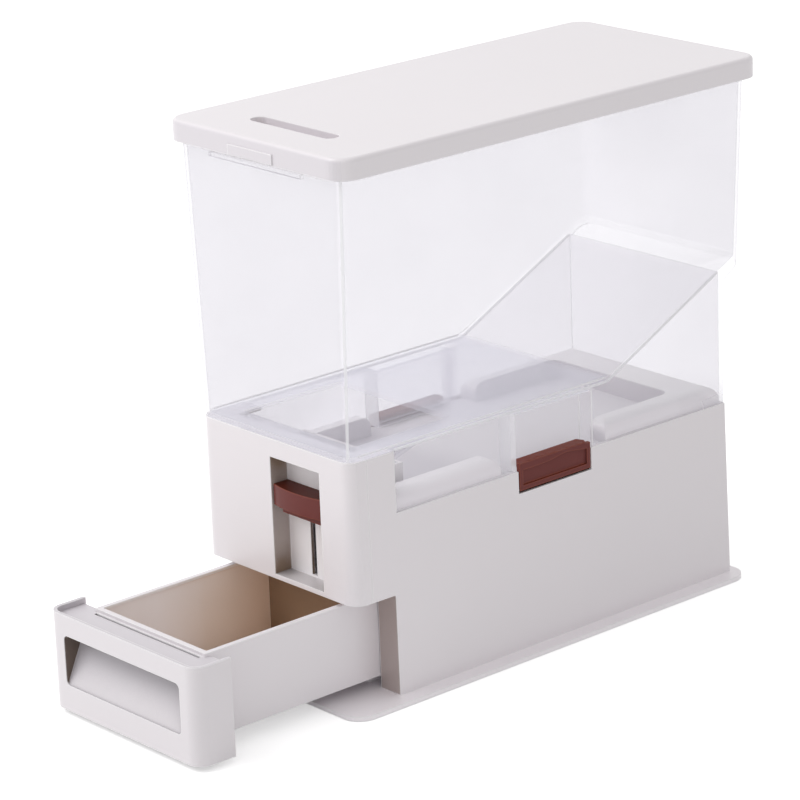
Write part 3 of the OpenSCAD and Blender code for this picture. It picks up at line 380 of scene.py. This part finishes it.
def bead(start, end, radius, mat):
    """A straight round bead with rounded ends between two points."""
    way = Vector(end) - Vector(start)
    bpy.ops.object.select_all(action="DESELECT")
    bpy.ops.mesh.primitive_cylinder_add(vertices=12, radius=radius, depth=way.length,
                                        location=(Vector(start) + Vector(end)) / 2,
                                        rotation=way.to_track_quat("Z", "Y").to_euler())
    bpy.ops.object.transform_apply(location=True, rotation=True, scale=True)
    made = bpy.context.object
    ends = made.modifiers.new("round_ends", "BEVEL")
    ends.limit_method = "ANGLE"
    ends.angle_limit = math.radians(60)
    ends.width = 0.6 * radius
    ends.segments = 2
    bpy.ops.object.modifier_apply(modifier=ends.name)
    made.data.materials.append(mat)
    return made


def dress(mat, *names):
    """Give CAD nodes one finish, all over."""
    for name in names:
        mesh = NODES[name].data
        mesh.materials.clear()
        mesh.materials.append(mat)
        mesh.polygons.foreach_set("material_index", [0] * len(mesh.polygons))


def mark_roomy_edges(mesh, angle, room, slant=0.004):
    """Bevel weight on sharp edges with no edge shorter than room at their ends, but not on slanting ones."""
    faces = {}
    for poly in mesh.polygons:
        for key in poly.edge_keys:
            faces.setdefault(key, []).append(poly.normal)
    shortest = [1.0] * len(mesh.vertices)
    for edge in mesh.edges:
        a, b = edge.vertices
        length = (mesh.vertices[a].co - mesh.vertices[b].co).length
        shortest[a] = min(shortest[a], length)
        shortest[b] = min(shortest[b], length)
    name = "bevel_weight_edge"
    weight = mesh.attributes.get(name) or mesh.attributes.new(name, "FLOAT", "EDGE")
    for edge in mesh.edges:
        normals = faces.get(edge.key, [])
        sharp = len(normals) == 2 and normals[0].angle(normals[1], 0.0) > angle
        way = mesh.vertices[edge.vertices[0]].co - mesh.vertices[edge.vertices[1]].co
        sharp = sharp and min(abs(c) for c in way) < slant
        roomy = min(shortest[v] for v in edge.vertices) > room
        weight.data[edge.index].value = 1.0 if sharp and roomy else 0.0


def only(obj):
    """Leave one object selected and active, in object mode."""
    if bpy.context.object and bpy.context.object.mode != "OBJECT":
        bpy.ops.object.mode_set(mode="OBJECT")
    bpy.ops.object.select_all(action="DESELECT")
    obj.hide_set(False)
    obj.select_set(True)
    bpy.context.view_layer.objects.active = obj


class CONTAINER_OT_shells(bpy.types.Operator):
    """Finish of the white shells, with painted shade, painted light and painted edge highlights: base, deck,
    cover, lid and drawer
    """

    bl_idname = "container.shells"
    bl_label = "White shells"

    def execute(self, context):
        # base: painted light on the tower front above 7 cm, painted shade on the front post below it, painted
        # shade on side walls in hollows
        base_painted_light = (
            PaintedLight("Y", -1, (0.95, 0.92, 0.935), low=0.070, high=0.072),
            PaintedLight("Y", -1, (0.41, 0.335, 0.315), low=0.072, high=0.070),
            PaintedLight("X", 1, (0.20, 0.125, 0.075), openness=0.95),
        )
        # cover: painted shade on the window's side walls and on its floor
        cover_painted_light = (
            PaintedLight("X", 1, (0.24, 0.165, 0.115), openness=0.97),
            PaintedLight("Z", 1, (0.43, 0.405, 0.41), openness=0.97),
        )
        # drawer box: painted shade on the inner side walls, paler at the front and warmer towards the back,
        # and dark painted shade on the back wall
        box_painted_light = (
            PaintedLight("X", 1, (0.95, 0.90, 0.89), openness=0.95, place="Y", low=-0.19, high=-0.23),
            PaintedLight("X", 1, (0.90, 0.70, 0.56), openness=0.95, place="Y", low=-0.195, high=-0.14),
            PaintedLight("Y", -1, (0.29, 0.185, 0.115), openness=0.95),
        )
        # drawer front: painted shade on the handle scoop's slope, on its side walls and on the top of the
        # ledge
        front_painted_light = (
            PaintedLight("Y", -1, (0.53, 0.50, 0.53), openness=0.98),
            PaintedLight("X", 1, (0.13, 0.095, 0.075), openness=0.97, low=0.0575, high=0.0555),
            PaintedLight("Z", 1, (0.66, 0.625, 0.66), low=0.060, high=0.064),
        )
        # lid: painted shade on its front-facing faces
        lid_painted_light = (PaintedLight("Y", -1, (0.71, 0.675, 0.71), low=0.2, high=0.3),)
        # deck: painted shade on the pan below the bars and on upward faces towards the rear, and painted light
        # on the bar tops
        deck_painted_light = (
            PaintedLight("Z", 1, (0.62, 0.60, 0.64), low=0.127, high=0.125),
            PaintedLight("Z", 1, (0.80, 0.78, 0.81), place="Y", low=-0.05, high=-0.02),
            PaintedLight("Z", 1, (0.95, 0.93, 0.95), low=0.132, high=0.134),
        )
        # open_end, deep_end and reach set where painted shade falls in each shell's hollows; shade and
        # deep_shade are the painted shade colours there
        dress(moulded_shell("base_shell", open_end=0.45, deep_end=0.15, reach=0.05,
                            deep_shade=(0.22, 0.155, 0.11), painted_walls=base_painted_light), "base_body")
        dress(moulded_shell("cover_shell", open_end=0.95, deep_end=0.2, reach=0.07, shade=(0.60, 0.565, 0.56),
                            deep_shade=(0.44, 0.39, 0.36), painted_walls=cover_painted_light), "front_cover")
        dress(moulded_shell("drawer_box_shell", open_end=0.95, deep_end=0.0, reach=0.12,
                            shade=(0.93, 0.83, 0.76), deep_shade=(0.76, 0.60, 0.48), painted_walls=box_painted_light),
              "drawer_box")
        # drawer front: darkened all over as painted shade
        dress(moulded_shell("drawer_front_shell", open_end=0.95, deep_end=0.1, reach=0.06, painted_light_gain=0.93,
                            shade=(0.53, 0.50, 0.53), deep_shade=(0.46, 0.43, 0.44), painted_walls=front_painted_light),
              "drawer_front")
        dress(moulded_shell("lid_shell", open_end=0.3, deep_end=0.0, reach=0.02, painted_walls=lid_painted_light), "lid")
        # deck: lightened all over as painted light
        dress(moulded_shell("deck_shell", open_end=0.97, deep_end=0.4, reach=0.05, painted_light_gain=1.17,
                            shade=(0.72, 0.695, 0.73), deep_shade=(0.62, 0.59, 0.63), painted_walls=deck_painted_light),
              "base_deck", "drawer_rails")
        # carriage: dark painted shade where it shows through the slot
        dress(moulded_shell("carriage_shell", open_end=0.5, deep_end=0.1, reach=0.03,
                            deep_shade=(0.16, 0.11, 0.08), local=False), "lever_carriage")
        # base plate: lightened all over as painted light
        dress(moulded_shell("plate_shell", open_end=0.2, deep_end=0.0, reach=0.012, painted_light_gain=1.17), "base_plate")
        return {"FINISHED"}


class CONTAINER_OT_hopper(bpy.types.Operator):
    """Clear hopper with rounded edges in a painted highlight material, in place of its plain solid"""

    bl_idname = "container.hopper"
    bl_label = "Clear hopper"

    def execute(self, context):
        finish = sizes()
        only(NODES["hopper"])
        bpy.ops.object.duplicate()
        hopper = context.object
        hopper.name = "clear_hopper"
        hopper.parent = None
        for key in list(hopper.keys()):
            if key.startswith("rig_"):
                del hopper[key]
        only(hopper)
        bpy.ops.object.mode_set(mode="EDIT")
        bpy.ops.mesh.select_all(action="SELECT")
        bpy.ops.mesh.remove_doubles(threshold=0.00002)
        bpy.ops.mesh.dissolve_limited(angle_limit=math.radians(1.0))
        bpy.ops.mesh.select_all(action="SELECT")
        bpy.ops.transform.translate(value=(0, 0, HOPPER_LIFT))
        bpy.ops.object.mode_set(mode="OBJECT")
        mesh = hopper.data
        mesh.materials.clear()
        tint = tuple(finish.clear_tint)
        # painted shade: the front wall lets a little less through than the other walls
        front_painted_shade_tint = tuple(c * 0.965 for c in tint)
        # painted highlight: a hazier, paler copy of the clear plastic for edges, corners and wall ends
        edge = clear_plastic("clear_edge", 0.55, (0.98, 0.98, 0.985), 0.12, (0.95, 0.945, 0.97))
        mesh.materials.append(clear_plastic("clear_wall", 0.085, tint, 0.03))
        mesh.materials.append(edge)
        mesh.materials.append(clear_plastic("clear_front_painted_shade", 0.085, front_painted_shade_tint, 0.03))
        # painted light: the floor and the ramp are lighter copies of the clear wall
        mesh.materials.append(clear_plastic("clear_floor_painted_light", 0.27, tint, 0.05, (0.88, 0.885, 0.985)))
        mesh.materials.append(clear_plastic("clear_ramp_painted_light", 0.06, (0.984, 0.983, 0.988), 0.03,
                                            (0.90, 0.88, 0.93)))
        mesh.polygons.foreach_set("material_index", [0] * len(mesh.polygons))
        mark_roomy_edges(mesh, math.radians(35), 2.5 * finish.clear_edge_round)
        bevel = hopper.modifiers.new("edge_round", "BEVEL")
        bevel.limit_method = "WEIGHT"
        bevel.width = finish.clear_edge_round
        bevel.segments = 2
        bevel.use_clamp_overlap = False
        # the rounded edges take the painted highlight material
        bevel.material = 1
        bpy.ops.object.modifier_apply(modifier=bevel.name)
        self.paint_hopper_light(mesh)
        beads = self.corner_beads(edge)
        only(hopper)
        for one in beads:
            one.select_set(True)
        bpy.ops.object.join()
        bpy.ops.object.shade_smooth_by_angle(angle=math.radians(30))
        hopper.visible_shadow = False
        hopper.visible_diffuse = False
        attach(hopper, "base")
        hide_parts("hopper")
        return {"FINISHED"}

    def paint_hopper_light(self, mesh):
        """Painted highlights on wall ends, pocket walls and a strip of the corners; a painted-shade copy on
        the front wall and painted-light copies on the floor and ramp.
        """
        for poly in mesh.polygons:
            x, y, z = poly.center
            side, front, up = (abs(c) for c in poly.normal)
            corner = (abs(x) > CORNER_SIDE_X and y < HOPPER_FRONT_Y and front > 0.5
                      and CORNER_TURN[0] < side < CORNER_TURN[1])
            skirt = SKIRT_Z[0] < z < SKIRT_Z[1]
            pocket = (skirt and abs(x) > SKIRT_SIDE_X and front > 0.9
                      and POCKET_FRONT_Y[0] < y < POCKET_FRONT_Y[1])
            end = skirt and poly.normal.y < -0.9 and y < SKIRT_FRONT_Y
            if corner or pocket or end:
                poly.material_index = 1
            elif y < HOPPER_FRONT_Y and z > HOPPER_WALL_Z and front > 0.9:
                poly.material_index = 2
            elif up > 0.97 and HOPPER_FLOOR[0] < z < HOPPER_FLOOR[1]:
                poly.material_index = 3
            elif RAMP_UP[0] < up < RAMP_UP[1] and y > RAMP_FRONT_Y:
                poly.material_index = 4

    def corner_beads(self, mat):
        """Fillets where the floor and the ramp meet the side walls, in the painted highlight material: one
        side made, the other copied.
        """
        x = 0.0716
        top_z, under_z, ramp_y = 0.1700, 0.1670, 0.058
        made = [bead((x, -0.160, top_z), (x, 0.056, top_z), 0.0007, mat),
                bead((x, -0.130, under_z), (x, ramp_y, under_z), 0.0009, mat),
                bead((x, ramp_y, under_z), (x, 0.163, 0.2185), 0.0009, mat)]
        copies = []
        for one in made:
            only(one)
            bpy.ops.object.duplicate()
            bpy.ops.transform.translate(value=(-2 * x, 0, 0))
            copies.append(bpy.context.object)
        return made + copies


class CONTAINER_OT_knob_and_latches(bpy.types.Operator):
    """Finish of the brown knob and the two latches, with painted shade on their tops"""

    bl_idname = "container.knob_and_latches"
    bl_label = "Knob and latches"

    def execute(self, context):
        # the second colour is the painted shade on upper faces
        dress(brown_plastic("knob_brown", (0.062, 0.008, 0.003)), "lever_knob")
        dress(brown_plastic("latch_brown", (0.16, 0.027, 0.014)), "latch_right", "latch_left")
        return {"FINISHED"}


class CONTAINER_OT_gear(bpy.types.Operator):
    """Finish of the metering drum, its housing, its bushes and the seals"""

    bl_idname = "container.gear"
    bl_label = "Dispensing gear"

    def execute(self, context):
        dress(inner_plastic(), "metering_housing", "metering_drum", "drum_pinion")
        dress(sintered_brass(), "drum_bushes")
        dress(seal_rubber(), "outlet_seal", "lid_seal")
        return {"FINISHED"}


class CONTAINER_OT_metalwork(bpy.types.Operator):
    """Steel pins, screws and rods, and a wound return spring"""

    bl_idname = "container.metalwork"
    bl_label = "Metalwork"

    def execute(self, context):
        steel = brushed_steel()
        dress(steel, "plate_screws", "cover_screws", "housing_screws", "drum_shaft", "lever_guide_rod",
              "lid_hinge_pins", "latch_pins", "return_spring")
        self.wind_spring(steel)
        return {"FINISHED"}

    def wind_spring(self, steel):
        """A wound wire between the foot of the guide rod and the carriage sleeve."""
        low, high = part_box("return_spring")
        wire = 0.0005
        foot = 1.2 * wire
        radius = (high[0] - low[0]) / 2 - wire
        turns = 12
        bpy.ops.object.select_all(action="DESELECT")
        bpy.ops.mesh.primitive_circle_add(vertices=10, radius=wire, location=(radius, 0, 0),
                                          rotation=(math.radians(90), 0, 0))
        coil = bpy.context.object
        coil.name = "wound_spring"
        bpy.ops.object.transform_apply(location=True, rotation=True, scale=True)
        screw = coil.modifiers.new("wind", "SCREW")
        screw.angle = math.radians(360)
        screw.iterations = turns
        screw.screw_offset = (high[2] - low[2] - 2 * foot) / turns
        screw.steps = 28
        screw.render_steps = 28
        bpy.ops.object.modifier_apply(modifier=screw.name)
        middle = ((low[0] + high[0]) / 2, (low[1] + high[1]) / 2, low[2] + foot)
        bpy.ops.object.mode_set(mode="EDIT")
        bpy.ops.mesh.select_all(action="SELECT")
        bpy.ops.mesh.normals_make_consistent(inside=False)
        bpy.ops.transform.translate(value=middle)
        bpy.ops.object.mode_set(mode="OBJECT")
        bpy.ops.object.shade_smooth_by_angle(angle=math.radians(50))
        coil.data.materials.append(steel)
        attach(coil, "base")
        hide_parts("return_spring")
        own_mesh(coil)


class CONTAINER_OT_stage(bpy.types.Operator):
    """White studio: floor, sky, soft box and camera"""

    bl_idname = "container.stage"
    bl_label = "Stage"

    def execute(self, context):
        stage = context.scene.container_stage
        self.add_sky(context, stage)
        self.add_floor(stage)
        self.add_key(stage)
        self.add_camera(context, stage)
        context.scene.cycles.transparent_max_bounces = 40
        context.scene.view_settings.view_transform = "Standard"
        return {"FINISHED"}

    def seen(self, tree):
        """1 for rays that show the surroundings: camera, gloss and glass."""
        path = tree.nodes.new("ShaderNodeLightPath")
        value = path.outputs["Is Camera Ray"]
        for name in ("Is Glossy Ray", "Is Transmission Ray"):
            most = tree.nodes.new("ShaderNodeMath")
            most.operation = "MAXIMUM"
            tree.links.new(value, most.inputs[0])
            tree.links.new(path.outputs[name], most.inputs[1])
            value = most.outputs[0]
        return value

    def add_sky(self, context, stage):
        world = bpy.data.worlds.new("studio_sky")
        context.scene.world = world
        world.use_nodes = True
        tree = world.node_tree
        back = tree.nodes["Background"]
        back.inputs["Color"].default_value = (1, 1, 1, 1)
        strength = spread(tree, self.seen(tree), 0, 1, stage.sky_strength, 1.0)
        tree.links.new(strength, back.inputs["Strength"])

    def add_floor(self, stage):
        bpy.ops.object.select_all(action="DESELECT")
        bpy.ops.mesh.primitive_plane_add(size=24, location=(0, 0, -0.0004))
        floor = bpy.context.object
        floor.name = "studio_floor"
        bpy.ops.object.transform_apply(location=True, rotation=True, scale=True)
        mat, tree, shader, _ = new_material("studio_floor")
        shader.inputs["Base Color"].default_value = (0.92, 0.92, 0.92, 1)
        shader.inputs["Roughness"].default_value = 0.9
        shader.inputs["Specular IOR Level"].default_value = 0.0
        shader.inputs["Emission Color"].default_value = (1, 1, 1, 1)
        lift = spread(tree, self.seen(tree), 0, 1, 0.0, stage.floor_lift)
        tree.links.new(lift, shader.inputs["Emission Strength"])
        floor.data.materials.append(mat)

    def add_key(self, stage):
        bpy.ops.object.light_add(type="AREA", location=KEY_PLACE)
        key = bpy.context.object
        key.name = "soft_box"
        key.data.shape = "RECTANGLE"
        key.data.size = stage.key_size
        key.data.size_y = stage.key_size
        key.data.energy = stage.key_power
        aim = Vector(KEY_AIM) - key.location
        key.rotation_euler = aim.to_track_quat("-Z", "Y").to_euler()

    def add_camera(self, context, stage):
        bpy.ops.object.camera_add()
        camera = context.object
        camera.name = "photo_camera"
        right = (0.66294, 0.747807, -0.035997)
        up = (-0.211372, 0.233076, 0.949209)
        back = (0.718215, -0.621659, 0.312581)
        place = (1.72578, -1.55511, 0.91848)
        rows = [[right[i], up[i], back[i], place[i]] for i in range(3)] + [[0, 0, 0, 1]]
        camera.matrix_world = Matrix(rows)
        camera.data.lens = stage.lens
        camera.data.sensor_width = 36
        camera.data.sensor_fit = "HORIZONTAL"
        camera.data.clip_start, camera.data.clip_end = 0.05, 60
        context.scene.camera = camera


class CONTAINER_PT_panel(bpy.types.Panel):
    """Lists the container's pieces and its sizes"""

    bl_idname = "CONTAINER_PT_panel"
    bl_label = "Dry food container"
    bl_space_type = "VIEW_3D"
    bl_region_type = "UI"
    bl_category = "Container"

    def draw(self, context):
        column = self.layout.column()
        for operator in OPERATORS:
            column.operator(operator.bl_idname)
        for group in (context.scene.container_finish, context.scene.container_stage):
            for name in group.bl_rna.properties.keys():
                if name not in ("rna_type", "name"):
                    column.prop(group, name)


OPERATORS = (CONTAINER_OT_shells, CONTAINER_OT_hopper, CONTAINER_OT_knob_and_latches, CONTAINER_OT_gear,
             CONTAINER_OT_metalwork, CONTAINER_OT_stage)
CLASSES = (ContainerFinish, ContainerStage) + OPERATORS + (CONTAINER_PT_panel,)


def register():
    for cls in CLASSES:
        bpy.utils.register_class(cls)
    bpy.types.Scene.container_finish = bpy.props.PointerProperty(type=ContainerFinish)
    bpy.types.Scene.container_stage = bpy.props.PointerProperty(type=ContainerStage)


def unregister():
    del bpy.types.Scene.container_stage
    del bpy.types.Scene.container_finish
    for cls in reversed(CLASSES):
        bpy.utils.unregister_class(cls)


def main():
    register()
    bpy.ops.container.stage()
    bpy.ops.container.shells()
    bpy.ops.container.hopper()
    bpy.ops.container.knob_and_latches()
    bpy.ops.container.gear()
    bpy.ops.container.metalwork()


if __name__ == "__main__":
    main()
